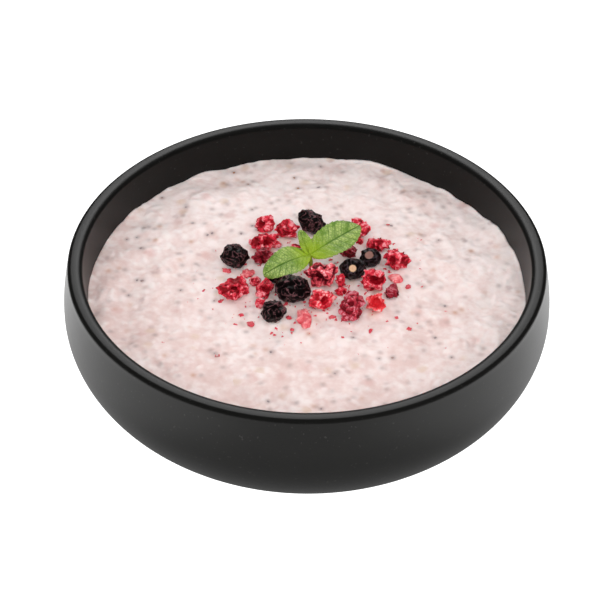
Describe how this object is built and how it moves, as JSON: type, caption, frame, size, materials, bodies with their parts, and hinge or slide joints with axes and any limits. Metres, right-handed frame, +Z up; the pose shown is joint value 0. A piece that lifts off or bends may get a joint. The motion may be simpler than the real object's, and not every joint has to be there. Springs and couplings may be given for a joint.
{
  "type": "chia rice pudding in a bowl",
  "caption": "Thick pale pink rice and chia pudding filling a matte black bowl, topped with dried dark berries, raspberry crumbles and a mint sprig.",
  "frame": {"origin": "middle of the bowl's foot, on the surface that it stands on", "axes": "+Z up through the middle of the bowl; -Y is the front that the picture is taken from, +X is to its right"},
  "size_m": [0.164, 0.164, 0.0558],
  "materials": {
    "bowl": "matte black glaze",
    "pudding": "moist, thick, pale pink, with seed flecks",
    "dark_berry": "wrinkled dried skin, satin",
    "raspberry": "freeze-dried, dry and crumbly",
    "mint": "fresh leaf, satin"
  },
  "bodies": {
    "root": {"bowl": "bowl", "dark_berry_back": "dark_berry", "dark_berry_far_right": "dark_berry", "dark_berry_front": "dark_berry", "dark_berry_hidden": "dark_berry", "dark_berry_left": "dark_berry", "dark_berry_middle": "dark_berry", "dark_berry_right": "dark_berry", "mint_sprig": "mint", "pudding": "pudding", "raspberry_back_left": "raspberry", "raspberry_back_middle": "raspberry", "raspberry_back_right": "raspberry", "raspberry_cone": "raspberry", "raspberry_cup": "raspberry", "raspberry_cup_foot": "raspberry", "raspberry_cup_lip": "raspberry", "raspberry_dark_left": "raspberry", "raspberry_far_right": "raspberry", "raspberry_flake_front": "raspberry", "raspberry_flake_left": "raspberry", "raspberry_flake_right": "raspberry", "raspberry_front_middle": "raspberry", "raspberry_front_ring": "raspberry", "raspberry_left_of_middle": "raspberry", "raspberry_right_dark": "raspberry", "raspberry_right_ring": "raspberry", "raspberry_ring_left": "raspberry", "raspberry_scrap_back": "raspberry", "raspberry_scrap_front": "raspberry", "raspberry_scrap_left": "raspberry", "raspberry_scrap_right": "raspberry", "raspberry_tiers": "raspberry", "raspberry_under_leaf": "raspberry", "raspberry_wing": "raspberry"}
  },
  "joints": []
}
